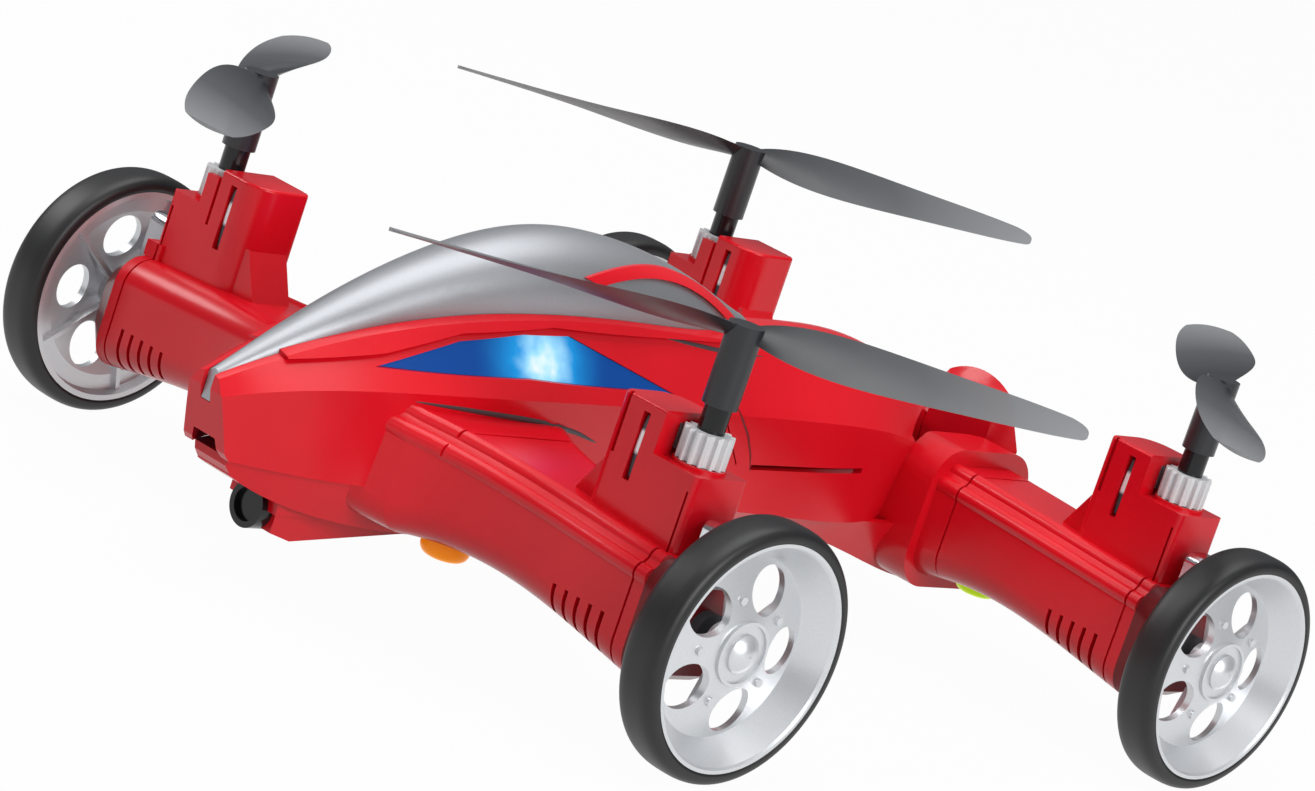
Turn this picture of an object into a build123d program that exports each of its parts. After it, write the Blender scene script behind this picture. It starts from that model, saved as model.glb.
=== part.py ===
"""Toy four-rotor flying car: a moulded body on four arms, each with a road wheel and a rotor tower.

Millimetres. +X is forward, +Y the vehicle's left, +Z up. The origin is on the floor, midway between
the axles on the centreline. Corner pieces are drawn for the left side, about their axle's own X and Y,
and the right-hand ones are the same mouldings turned half a turn.
"""

from build123d import *
from math import cos, radians, sin
import os

# Clearances
RUNNING_CLEARANCE = 0.05
PANEL_FIT = 0.15

# Wheels and axles
WHEEL_RADIUS = 25.0
HALF_WHEELBASE = 73.4
WHEEL_FACE_Y = 94.0
TYRE_WIDTH = 8.9
# Half of the tyre's outline. Columns: how far inside the tread, how far inside the face.
TYRE_HALF = [(2.0, 0.0), (0.6, 0.8), (0.0, 2.2)]
RIM_RADIUS = 22.1
RIM_WALL = 1.1
RIM_ROOT_WALL = 1.65
DISC_RADIUS = 17.4
DISC_DEPTH = 3.0
DISC_DISH = 2.6
DISC_THICKNESS = 1.3
WHEEL_HOLES = 5
WHEEL_HOLE_RADIUS = 4.6
WHEEL_HOLE_PITCH = 12.1
WHEEL_PHASE = -35.0
WHEEL_PIN_RADIUS = 0.8
WHEEL_PIN_PITCH = 10.2
WHEEL_PIN_DROP = 0.3
WHEEL_RIB_THICKNESS = 1.0
WHEEL_RIB_INSET = 1.0
WHEEL_LIP_CHAMFER = 0.4
HUB_RADIUS = 6.2
HUB_STEP = 0.8
HUB_FLOOR = 0.3
HUB_RING_WIDTH = 0.6
HUB_DOME_RADIUS = 3.7
HUB_DOME_HEIGHT = 1.6
HUB_SLEEVE_RADIUS = 3.7
AXLE_RADIUS = 1.2
AXLE_SOCKET = 0.6
AXLE_SEAT = 4.0
BUSH_RADIUS = 4.0
BUSH_LENGTH = 2.2

# Body
WALL = 1.6
SEAM_Z = 24.0
# Columns: x, half width at the seam, shoulder half width and z, crown half width and z, crown centre z.
SHELL_STATIONS = [
    (129.5, 4.6, 4.6, 35.5, 2.6, 38.2, 38.6),
    (118.0, 9.0, 9.6, 39.4, 4.4, 43.6, 44.3),
    (100.0, 14.2, 15.0, 42.6, 7.2, 50.4, 51.5),
    (82.0, 15.8, 17.8, 44.0, 9.8, 55.0, 56.6),
    (62.0, 16.4, 19.2, 44.9, 11.6, 57.8, 60.0),
    (30.0, 15.5, 17.6, 45.0, 11.0, 58.2, 60.4),
    (-8.0, 14.0, 15.2, 44.5, 8.8, 57.0, 59.2),
    (-48.0, 14.2, 15.1, 43.4, 8.9, 54.6, 57.2),
    (-89.0, 14.2, 14.8, 42.0, 9.0, 51.5, 54.4),
]
# Columns: x, half width at the seam, belly half width and z.
FLOOR_STATIONS = [
    (123.0, 5.0, 4.0, 21.5),
    (100.0, 12.4, 9.6, 15.4),
    (66.0, 15.2, 12.0, 14.2),
    (28.0, 14.8, 11.5, 17.0),
    (-8.0, 13.6, 11.0, 20.6),
    (-45.0, 14.0, 10.5, 17.0),
    (-89.0, 14.0, 9.8, 13.0),
]
# The nose leans back under its chin: columns x, z of the wedge that is cut away.
NOSE_CUT = [
    (129.6, 36.0),
    (125.6, SEAM_Z + 1.2),
    (121.5, SEAM_Z - 3.0),
    (121.5, 0.0),
    (140.0, 0.0),
    (140.0, 36.0),
]
BODY_REACH = 40.0

# The raised belt over each side lens, and the lens itself: columns x, z, seen from the side.
BELT_OUTLINE = [
    (118.0, 48.6),
    (117.4, 44.2),
    (99.0, 48.6),
    (82.0, 54.2),
    (60.0, 57.6),
    (30.0, 57.6),
    (2.0, 57.4),
    (2.0, 66.0),
    (118.0, 66.0),
]
BELT_RISE = 0.8
LENS_OUTLINE = [
    (101.0, 46.0),
    (82.0, 52.6),
    (67.0, 55.4),
    (55.0, 56.2),
    (20.0, 46.6),
    (38.0, 48.0),
    (66.0, 48.2),
]
LENS_SINK = 0.3
LENS_THICKNESS = 1.6
# Panel line behind the lens, and the vent slot in the flank.
PANEL_LINE = [(12.0, 50.0), (4.0, 41.5), (-2.6, 34.0)]
LINE_WIDTH = 0.5
FLANK_SLOT = ((-7.0, 33.7), (-39.0, 35.5))
FLANK_SLOT_HEIGHT = 1.1

# Canopy. Columns: x, rim half width, rim z, crown z.
CANOPY_STATIONS = [
    (128.6, 1.2, 37.4, 39.4),
    (119.0, 2.6, 42.6, 46.0),
    (106.0, 4.8, 48.6, 54.4),
    (92.0, 6.9, 54.0, 62.0),
    (78.0, 8.8, 58.2, 68.0),
    (64.0, 10.4, 60.6, 72.0),
    (50.0, 11.0, 60.6, 73.4),
    (36.0, 10.6, 60.2, 72.4),
    (20.0, 9.2, 60.0, 69.2),
    (6.0, 6.8, 59.8, 64.8),
    (-5.6, 3.4, 59.4, 60.8),
]
CANOPY_SKIRT = 4.0
CANOPY_HOLLOW_ENDS = 3
# The shell's opening runs out past the canopy's nose by this much.
CANOPY_OPENING_REACH = 2.0
# Red rails over the canopy's side window: columns x, z of the strip's edge, seen from the side.
RAIL_TOP = [(53.0, 67.2), (35.0, 70.1), (0.0, 60.4)]
RAIL_LOW = [(49.0, 66.0), (33.0, 68.2), (4.0, 60.4)]
RAIL_HEIGHT = 0.7
RAIL_FIT = 0.05

# Camera pod under the nose
POD_HALF_WIDTH = 5.2
POD_FRONT = 107.5
POD_BACK = 70.0
POD_TOP = 19.5
POD_KEEL = [(POD_FRONT, 10.4), (102.0, 9.0), (POD_BACK, 12.2)]
POD_LUG_BACK = 98.5
POD_LUG_FRONT = 109.0
POD_LUG_BOTTOM = 14.4
POD_LUG_TOP = 19.5
POD_LUG_HALF_WIDTH = 6.6
CAMERA_X = 110.4
CAMERA_Z = 13.9
CAMERA_RADIUS = 4.4
CAMERA_BACK = 101.0
CAMERA_LIP = 1.2
CAMERA_SINK = 1.0

# Battery hatch: a flat door in a shallow box under the belly
HATCH_FRONT = 52.0
HATCH_BACK = 4.0
HATCH_HALF_WIDTH = 9.0
HATCH_Z = 13.0
HATCH_THICKNESS = 1.6
HATCH_MARGIN = 2.0

# Arms, each a moulded beam along Y over its axle. Columns: y, half depth along X, underside z, top z.
ARM_CORNER = 6.0
FRONT_ROOT_Y = 19.0
ARM_END_Y = 76.0
FENDER_STATIONS = [
    (4.0, 29.0, 18.2, 42.4),
    (FRONT_ROOT_Y, 22.0, 17.2, 40.3),
]
FRONT_ARM_STATIONS = [
    (FRONT_ROOT_Y, 22.0, 17.2, 40.3),
    (38.0, 15.4, 18.6, 38.8),
    (56.0, 13.9, 16.9, 37.7),
    (ARM_END_Y, 13.2, 13.4, 36.6),
]
COLLAR_Y = 20.0
REAR_ARM_STATIONS = [
    (COLLAR_Y, 13.6, 15.4, 39.6),
    (38.0, 13.5, 17.8, 38.8),
    (56.0, 13.4, 16.5, 37.8),
    (ARM_END_Y, 13.2, 13.4, 36.6),
]
COLLAR_ROOT_Y = 9.0
COLLAR_HALF_DEPTH = 16.0
COLLAR_BOTTOM = 12.6
COLLAR_TOP = 43.0
COLLAR_CORNER = 8.0
COLLAR_HOLLOW_CORNER = 5.0
COLLAR_WALL = 4.0
# Two raised rails run along the forward upper corner: columns turn about the corner's centre, radius.
ARM_RAILS = [(22.0, 1.9), (68.0, 1.9)]
ARM_RAIL_ORBIT = 5.0
# Seam grooves round the arm: y.
ARM_GROOVES = [25.5, 73.0]
GROOVE_WIDTH = 0.5
GROOVE_DEPTH = 0.5
SADDLE_HALF_LENGTH = 4.5
SADDLE_X = -3.1
SADDLE_TOP = 40.0
SADDLE_WIDTH = 4.0
SADDLE_OVERHANG = 0.5
VENT_COUNT = 5
VENT_Y = 63.0
VENT_PITCH = 3.1
VENT_WIDTH = 0.9
VENT_TOP = 23.2
VENT_LENGTH = 5.4
VENT_GROWTH = 0.7
CAP_LENGTH = 5.0
CAP_INSET = 2.8

# Rotor towers
TOWER_BASE = 33.0
TOWER_INNER_Y = 51.4
TOWER_OUTER_Y = 74.6
TOWER_HALF_DEPTH = 7.0
TOWER_TOP = 59.5
TOWER_FRONT_ROUND = 2.0
TOWER_BACK_ROUND = 5.2
TOWER_OUTER_ROUND = 1.2
TOWER_TOP_ROUND = 0.6
SKIRT_TOP = 47.0
SKIRT_FOOT = 36.5
SKIRT_REACH = 6.0
SKIRT_HALF_DEPTH = 5.0
POCKET_Z = 51.3
POCKET_WALL = 1.6
BACK_STRIP_Y = 66.6
BACK_STRIP_TOP = 57.5
SLOT_BOTTOM = 44.5
SLOT_WIDTH = 1.7
GROOVE_INSET = 2.1
TOWER_GROOVE_WIDTH = 0.8
TOWER_GROOVE_DEPTH = 0.8
TOWER_GROOVE_BOTTOM = 48.0
MOTOR_Y = 58.6
MOTOR_RADIUS = 3.5
MOTOR_BOTTOM = 39.0
MOTOR_TOP = 57.5
MESH_WINDOW_HALF = 2.6

# Rotors, gears and shafts
ROTOR_Y = 68.0
ROTOR_RADIUS = 66.5
BLADE_Z = 77.0
SHAFT_RADIUS = 1.0
SHAFT_BOTTOM = 42.4
BEARING_RADIUS = 2.4
BEARING_HEIGHT = 0.7
BEARING_RING_RADIUS = 5.1
BEARING_RING_WALL = 0.6
GEAR_RADIUS = 4.8
GEAR_AIR = 0.3
GEAR_HEIGHT = 6.0
GEAR_TEETH = 14
GEAR_TOOTH_DEPTH = 0.9
GEAR_TOOTH_ROOT = 1.5
GEAR_TOOTH_SLOPE = 75
SLEEVE_RADIUS = 2.6
SLEEVE_TOP = 63.0
ROTOR_HUB_RADIUS = 3.4
ROTOR_HUB_CAP = 1.5
# Columns: radius, chord, pitch angle in degrees, thickness.
BLADE_STATIONS = [
    (2.2, 5.0, 30.0, 2.2),
    (12.0, 12.5, 26.0, 1.4),
    (30.0, 16.0, 18.0, 1.1),
    (50.0, 14.5, 12.0, 0.9),
    (ROTOR_RADIUS, 8.5, 9.0, 0.7),
]
BLADE_TIP_ROUND = 6.5
BLADE_CUT_DEPTH = 8.0

# Lamps under the arms' roots. Columns: forward of the axle, y, underside z.
LAMP_SPOTS = {
    "front": (8.5, 24.2, 14.8),
    "rear": (-2.6, 26.2, 14.2),
}
LAMP_RADIUS = 4.8
LAMP_HEIGHT = 6.0
LAMP_ROUND = 2.0

# The wheel's motor can beside each arm's end
CAN_HALF_DEPTH = 3.9
CAN_Y = 79.0
CAN_HALF_THICKNESS = 2.3
CAN_BOTTOM = 33.0
CAN_TOP = 44.6
CAN_ROUND = 2.0

# What follows from the sizes above
BASE = (Align.CENTER, Align.CENTER, Align.MIN)
ON_EDGE = (Align.CENTER, Align.MIN, Align.MIN)
WHEEL_AXIS = Axis((0, 0, WHEEL_RADIUS), (0, 1, 0))
WHEEL_INNER_Y = WHEEL_FACE_Y - TYRE_WIDTH
HUB_Y = WHEEL_FACE_Y - DISC_DEPTH
DISC_EDGE_Y = HUB_Y - DISC_DISH
GEAR_BOTTOM = POCKET_Z + BEARING_HEIGHT + RUNNING_CLEARANCE
SLEEVE_BOTTOM = GEAR_BOTTOM + GEAR_HEIGHT
TOWER_MID_Y = (TOWER_INNER_Y + TOWER_OUTER_Y) / 2
POCKET_INNER_Y = ROTOR_Y - GEAR_RADIUS - GEAR_AIR
AXLE_START_Y = ARM_END_Y + CAP_LENGTH - AXLE_SEAT
POD_LUG_MIDDLE = ((POD_LUG_BACK + POD_LUG_FRONT) / 2, 0, (POD_LUG_BOTTOM + POD_LUG_TOP) / 2)

os.makedirs("parts", exist_ok=True)


def finish(builder, name):
    """Labels a finished piece and writes it out."""
    builder.part.label = name
    export_step(builder.part, f"parts/{name}.step")


def between(stations, y):
    """The arm's half depth, underside and top at y, in line between its stations."""
    for low, high in zip(stations, stations[1:]):
        if low[0] <= y <= high[0]:
            share = (y - low[0]) / (high[0] - low[0])
            return [a + share * (b - a) for a, b in zip(low[1:], high[1:])]
    raise ValueError(f"no arm at y {y}")


def arm_loft(stations, inset):
    """A beam along Y with rounded rectangular sections, or its hollow when inset."""
    with BuildPart() as lofted:
        for y, half_depth, bottom, top in stations:
            with BuildSketch(Plane.XZ.offset(-y)):
                with Locations((0, (bottom + top) / 2)):
                    RectangleRounded(
                        2 * (half_depth - inset), top - bottom - 2 * inset, ARM_CORNER - inset
                    )
        loft()
    return lofted.part


def arm_rails(stations):
    """The two raised rails that follow an arm's forward upper corner."""
    with BuildPart() as rails:
        for turn, radius in ARM_RAILS:
            for y, half_depth, bottom, top in stations:
                with BuildSketch(Plane.XZ.offset(-y)):
                    across = half_depth - ARM_CORNER + ARM_RAIL_ORBIT * cos(radians(turn))
                    height = top - ARM_CORNER + ARM_RAIL_ORBIT * sin(radians(turn))
                    with Locations((across, height)):
                        Circle(radius)
            loft()
    return rails.part


def end_shifted(x, stations, inset):
    """A hollow stops two walls short of each end of the body, and a skin runs as far past it."""
    if x == stations[0][0]:
        return x - 2 * inset
    if x == stations[-1][0]:
        return x + 2 * inset
    return x


def shell_loft(inset):
    """The upper body above the seam, its hollow when inset, or a skin over it when inset is negative."""
    with BuildPart() as lofted:
        for x, seam, shoulder, shoulder_z, crown, crown_z, top_z in SHELL_STATIONS:
            right = [
                (seam - inset, SEAM_Z - abs(inset)),
                (shoulder - inset, shoulder_z),
                (crown - inset, crown_z - inset),
            ]
            left = [(-y, z) for y, z in reversed(right)]
            with BuildSketch(Plane.YZ.offset(end_shifted(x, SHELL_STATIONS, inset))):
                with BuildLine():
                    Polyline(*right)
                    ThreePointArc(right[-1], (0, top_z - inset), left[0])
                    Polyline(*left, right[0])
                make_face()
        loft()
    return lofted.part


def floor_loft(inset):
    """The lower body below the seam, or its hollow when inset."""
    with BuildPart() as lofted:
        for x, seam, belly, belly_z in FLOOR_STATIONS:
            right = [(seam - inset, SEAM_Z + inset), (belly - inset, belly_z + inset)]
            left = [(-y, z) for y, z in reversed(right)]
            with BuildSketch(Plane.YZ.offset(end_shifted(x, FLOOR_STATIONS, inset))):
                with BuildLine():
                    Polyline(*right, *left, right[0])
                make_face()
        loft()
    return lofted.part


def side_prism(outline, inset=0.0):
    """An outline seen from the side, run right through the body."""
    with BuildPart() as prism:
        with BuildSketch(Plane.XZ):
            with BuildLine():
                Polyline(*outline, close=True)
            make_face()
            if inset:
                offset(amount=-inset)
        extrude(amount=BODY_REACH, both=True)
    return prism.part


def bar_outline(start, end, height):
    """A thin bar between two points, as a four-cornered outline."""
    return [
        (start[0], start[1] - height / 2),
        (start[0], start[1] + height / 2),
        (end[0], end[1] + height / 2),
        (end[0], end[1] - height / 2),
    ]


def canopy_loft(inset, stations):
    """The canopy down to its skirt, its hollow when inset, or a skin over it when inset is negative."""
    with BuildPart() as lofted:
        for x, half, rim, crown in stations:
            right, low = half - inset, rim - CANOPY_SKIRT
            with BuildSketch(Plane.YZ.offset(x)):
                with BuildLine():
                    ThreePointArc((right, rim), (0, crown - inset), (-right, rim))
                    Polyline((-right, rim), (-right, low), (right, low), (right, rim))
                make_face()
        loft()
    return lofted.part


# What carries the arms on the body: a flared fender at the front and a collar at the rear.
with BuildPart() as fender:
    add(arm_loft(FENDER_STATIONS, 0))
    add(arm_rails(FENDER_STATIONS))


def collar_block(inset, corner):
    """The collar's block from inside the body to the arm's seat, or its hollow when inset."""
    with BuildPart() as block:
        with BuildSketch(Plane.XZ.offset(-COLLAR_ROOT_Y)):
            with Locations((0, (COLLAR_BOTTOM + COLLAR_TOP) / 2)):
                RectangleRounded(
                    2 * (COLLAR_HALF_DEPTH - inset), COLLAR_TOP - COLLAR_BOTTOM - 2 * inset, corner
                )
        extrude(amount=COLLAR_ROOT_Y - COLLAR_Y)
    return block.part


# Columns: where along X, what carries the arm there, its hollow.
ROOT_SPOTS = [
    (HALF_WHEELBASE, fender.part, arm_loft(FENDER_STATIONS, 2 * WALL)),
    (
        -HALF_WHEELBASE,
        collar_block(0, COLLAR_CORNER),
        collar_block(COLLAR_WALL, COLLAR_HOLLOW_CORNER),
    ),
]

# Canopy: a thin silver moulding whose skirt drops into the shell's opening
with BuildPart() as canopy:
    add(canopy_loft(0, CANOPY_STATIONS))
    add(
        canopy_loft(WALL, CANOPY_STATIONS[CANOPY_HOLLOW_ENDS:-CANOPY_HOLLOW_ENDS + 1]),
        mode=Mode.SUBTRACT,
    )
finish(canopy, "canopy")

with BuildPart() as canopy_opening:
    for x, half, rim, crown in CANOPY_STATIONS:
        with BuildSketch(Plane.YZ.offset(x)):
            with Locations((0, rim)):
                Rectangle(2 * (half + PANEL_FIT), 2 * (CANOPY_SKIRT + PANEL_FIT))
    loft()
    for x, half, rim, crown in (CANOPY_STATIONS[0], CANOPY_STATIONS[-1]):
        with Locations((x, 0, rim)):
            Box(4 * PANEL_FIT, 2 * (half + PANEL_FIT), 2 * (CANOPY_SKIRT + PANEL_FIT))
    tip_x, tip_half, tip_rim, tip_crown = CANOPY_STATIONS[0]
    with Locations((tip_x + CANOPY_OPENING_REACH / 2, 0, tip_rim)):
        Box(CANOPY_OPENING_REACH, 2 * (tip_half + PANEL_FIT), 2 * (CANOPY_SKIRT + PANEL_FIT))

# The red rail that curves over the side window, one on each side
with BuildPart() as rail_side:
    with BuildSketch(Plane.XZ):
        with BuildLine():
            ThreePointArc(*RAIL_TOP)
            Line(RAIL_TOP[-1], RAIL_LOW[-1])
            ThreePointArc(*reversed(RAIL_LOW))
            Line(RAIL_LOW[0], RAIL_TOP[0])
        make_face()
    extrude(amount=BODY_REACH, both=True)

with BuildPart() as canopy_rails:
    add(canopy_loft(-RAIL_HEIGHT, CANOPY_STATIONS))
    add(canopy_loft(-RAIL_FIT, CANOPY_STATIONS), mode=Mode.SUBTRACT)
    add(rail_side, mode=Mode.INTERSECT)
finish(canopy_rails, "canopy_rails")

with BuildPart() as nose_wedge:
    add(side_prism(NOSE_CUT))

with BuildPart() as body_shell:
    add(shell_loft(-BELT_RISE))
    add(side_prism(BELT_OUTLINE), mode=Mode.INTERSECT)
    add(shell_loft(0))
    for x, root, hollow in ROOT_SPOTS:
        with Locations((x, 0, 0), Location((x, 0, 0), (0, 0, 180))):
            add(root)
    add(shell_loft(WALL), mode=Mode.SUBTRACT)
    for x, root, hollow in ROOT_SPOTS:
        with Locations((x, 0, 0), Location((x, 0, 0), (0, 0, 180))):
            add(hollow, mode=Mode.SUBTRACT)
    add(canopy_opening, mode=Mode.SUBTRACT)
    add(nose_wedge, mode=Mode.SUBTRACT)
    add(side_prism(LENS_OUTLINE), mode=Mode.SUBTRACT)
    add(side_prism(bar_outline(*FLANK_SLOT, FLANK_SLOT_HEIGHT)), mode=Mode.SUBTRACT)
    for start, end in zip(PANEL_LINE, PANEL_LINE[1:]):
        add(side_prism(bar_outline(start, end, LINE_WIDTH)), mode=Mode.SUBTRACT)
    split(bisect_by=Plane.XY.offset(SEAM_Z), keep=Keep.TOP)
finish(body_shell, "body_shell")

with BuildPart() as body_floor:
    add(floor_loft(0))
    for x, root, hollow in ROOT_SPOTS:
        with Locations((x, 0, 0), Location((x, 0, 0), (0, 0, 180))):
            add(root)
    with Locations(((HATCH_FRONT + HATCH_BACK) / 2, 0, HATCH_Z)):
        Box(
            HATCH_FRONT - HATCH_BACK + 2 * HATCH_MARGIN,
            2 * (HATCH_HALF_WIDTH + HATCH_MARGIN),
            SEAM_Z - HATCH_Z,
            align=BASE,
        )
    add(floor_loft(WALL), mode=Mode.SUBTRACT)
    for x, root, hollow in ROOT_SPOTS:
        with Locations((x, 0, 0), Location((x, 0, 0), (0, 0, 180))):
            add(hollow, mode=Mode.SUBTRACT)
    with Locations(((HATCH_FRONT + HATCH_BACK) / 2, 0, HATCH_Z)):
        Box(
            HATCH_FRONT - HATCH_BACK + 2 * PANEL_FIT,
            2 * (HATCH_HALF_WIDTH + PANEL_FIT),
            2 * HATCH_THICKNESS,
            mode=Mode.SUBTRACT,
        )
        Box(
            HATCH_FRONT - HATCH_BACK - 2 * HATCH_MARGIN,
            2 * (HATCH_HALF_WIDTH - HATCH_MARGIN),
            2 * (SEAM_Z - HATCH_Z),
            mode=Mode.SUBTRACT,
        )
    add(nose_wedge, mode=Mode.SUBTRACT)
    with Locations(((POD_FRONT + POD_BACK) / 2, 0, 0)):
        Box(POD_FRONT - POD_BACK, 2 * POD_HALF_WIDTH, 2 * SEAM_Z, mode=Mode.SUBTRACT)
    with Locations(POD_LUG_MIDDLE):
        Box(
            POD_LUG_FRONT - POD_LUG_BACK + 2 * PANEL_FIT,
            2 * (POD_LUG_HALF_WIDTH + PANEL_FIT),
            POD_LUG_TOP - POD_LUG_BOTTOM + 2 * PANEL_FIT,
            mode=Mode.SUBTRACT,
        )
    split(bisect_by=Plane.XY.offset(SEAM_Z), keep=Keep.BOTTOM)
    with BuildSketch(Plane.YZ.offset(CAMERA_BACK)):
        with Locations((0, CAMERA_Z)):
            Circle(CAMERA_RADIUS)
    extrude(amount=BODY_REACH, mode=Mode.SUBTRACT)
finish(body_floor, "body_floor")

with BuildPart() as battery_hatch:
    with Locations(((HATCH_FRONT + HATCH_BACK) / 2, 0, HATCH_Z)):
        Box(HATCH_FRONT - HATCH_BACK, 2 * HATCH_HALF_WIDTH, HATCH_THICKNESS, align=BASE)
finish(battery_hatch, "battery_hatch")

# Side lenses: what the lens's outline leaves of the shell's own skin, sunk a little below it
with BuildPart() as lens_skin:
    add(shell_loft(LENS_SINK))
    add(shell_loft(LENS_SINK + LENS_THICKNESS), mode=Mode.SUBTRACT)
    add(side_prism(LENS_OUTLINE, PANEL_FIT), mode=Mode.INTERSECT)
for side, keep in (("left", Keep.TOP), ("right", Keep.BOTTOM)):
    with BuildPart() as side_lens:
        add(lens_skin)
        split(bisect_by=Plane(origin=(0, 0, 0), z_dir=(0, 1, 0)), keep=keep)
    finish(side_lens, f"side_lens_{side}")

# Camera pod under the nose, with a lug on each side
with BuildPart() as camera_pod:
    with BuildSketch(Plane.XZ):
        with BuildLine():
            Polyline((POD_FRONT, POD_TOP), *POD_KEEL, (POD_BACK, POD_TOP), close=True)
        make_face()
    extrude(amount=POD_HALF_WIDTH, both=True)
    with Locations(POD_LUG_MIDDLE):
        Box(POD_LUG_FRONT - POD_LUG_BACK, 2 * POD_LUG_HALF_WIDTH, POD_LUG_TOP - POD_LUG_BOTTOM)
    with BuildSketch(Plane.YZ.offset(CAMERA_BACK)):
        with Locations((0, CAMERA_Z)):
            Circle(CAMERA_RADIUS)
    extrude(amount=CAMERA_X - CAMERA_BACK, mode=Mode.SUBTRACT)
finish(camera_pod, "camera_pod")

with BuildPart() as camera_lens:
    with BuildSketch(Plane.YZ.offset(CAMERA_BACK)):
        with Locations((0, CAMERA_Z)):
            Circle(CAMERA_RADIUS)
    extrude(amount=CAMERA_X - CAMERA_BACK)
    with BuildSketch(Plane.YZ.offset(CAMERA_X)):
        with Locations((0, CAMERA_Z)):
            Circle(CAMERA_RADIUS - CAMERA_LIP)
    extrude(amount=-CAMERA_SINK, mode=Mode.SUBTRACT)
finish(camera_lens, "camera_lens")


def ring_groove(stations, y):
    """A thin square ring that cuts a seam groove round an arm."""
    half_depth, bottom, top = between(stations, y)
    with BuildPart() as ring:
        with BuildSketch(Plane.XZ.offset(-y)):
            with Locations((0, (bottom + top) / 2)):
                Rectangle(4 * half_depth, 2 * (top - bottom))
                RectangleRounded(
                    2 * (half_depth - GROOVE_DEPTH),
                    top - bottom - 2 * GROOVE_DEPTH,
                    ARM_CORNER - GROOVE_DEPTH,
                    mode=Mode.SUBTRACT,
                )
        extrude(amount=-GROOVE_WIDTH)
    return ring.part


def make_tower():
    """The rotor tower's outside: a block with one well rounded edge, and a skirt that flares inboard."""
    with BuildPart() as tower:
        with BuildSketch(Plane.XY.offset(TOWER_BASE)) as plan:
            with Locations((0, TOWER_MID_Y)):
                Rectangle(2 * TOWER_HALF_DEPTH, TOWER_OUTER_Y - TOWER_INNER_Y)
            for row, column, radius in (
                (0, 0, TOWER_BACK_ROUND),
                (0, -1, TOWER_FRONT_ROUND),
                (-1, 0, TOWER_OUTER_ROUND),
                (-1, -1, TOWER_OUTER_ROUND),
            ):
                fillet(plan.vertices().group_by(Axis.Y)[row].sort_by(Axis.X)[column], radius)
        extrude(amount=TOWER_TOP - TOWER_BASE)
        fillet(tower.edges().group_by(Axis.Z)[-1], TOWER_TOP_ROUND)
        with BuildSketch(Plane.YZ):
            with BuildLine():
                Polyline(
                    (TOWER_INNER_Y, SKIRT_TOP),
                    (TOWER_INNER_Y - SKIRT_REACH, SKIRT_FOOT),
                    (TOWER_MID_Y, SKIRT_FOOT),
                    (TOWER_MID_Y, SKIRT_TOP),
                    close=True,
                )
            make_face()
        extrude(amount=SKIRT_HALF_DEPTH, both=True)
    return tower.part


def tower_cuts():
    """What is cut from a tower: slots, edge grooves, the gear's pocket and the window to the motor."""
    with BuildPart() as cuts:
        with Locations((0, MOTOR_Y, MOTOR_BOTTOM)):
            Cylinder(MOTOR_RADIUS, MOTOR_TOP - MOTOR_BOTTOM, align=BASE)
        with Locations((0, MOTOR_Y, SLOT_BOTTOM)):
            Box(4 * TOWER_HALF_DEPTH, SLOT_WIDTH, MOTOR_TOP - SLOT_BOTTOM, align=BASE)
        for side, y in ((1, TOWER_INNER_Y + GROOVE_INSET), (-1, POCKET_INNER_Y)):
            with Locations((side * TOWER_HALF_DEPTH, y, TOWER_GROOVE_BOTTOM)):
                Box(2 * TOWER_GROOVE_DEPTH, TOWER_GROOVE_WIDTH, TOWER_TOP, align=BASE)
        with Locations((POCKET_WALL - TOWER_HALF_DEPTH, POCKET_INNER_Y, POCKET_Z)):
            Box(4 * TOWER_HALF_DEPTH, TOWER_OUTER_Y, TOWER_TOP, align=(Align.MIN, Align.MIN, Align.MIN))
        with Locations((0, BACK_STRIP_Y, POCKET_Z), (0, POCKET_INNER_Y, BACK_STRIP_TOP)):
            Box(4 * TOWER_HALF_DEPTH, TOWER_OUTER_Y, TOWER_TOP, align=ON_EDGE)
        with Locations((0, MOTOR_Y, POCKET_Z)):
            Box(2 * MESH_WINDOW_HALF, TOWER_OUTER_Y - MOTOR_Y, MOTOR_TOP - POCKET_Z, align=ON_EDGE)
    return cuts.part


TOWER = make_tower()
TOWER_CUTS = tower_cuts()


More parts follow.
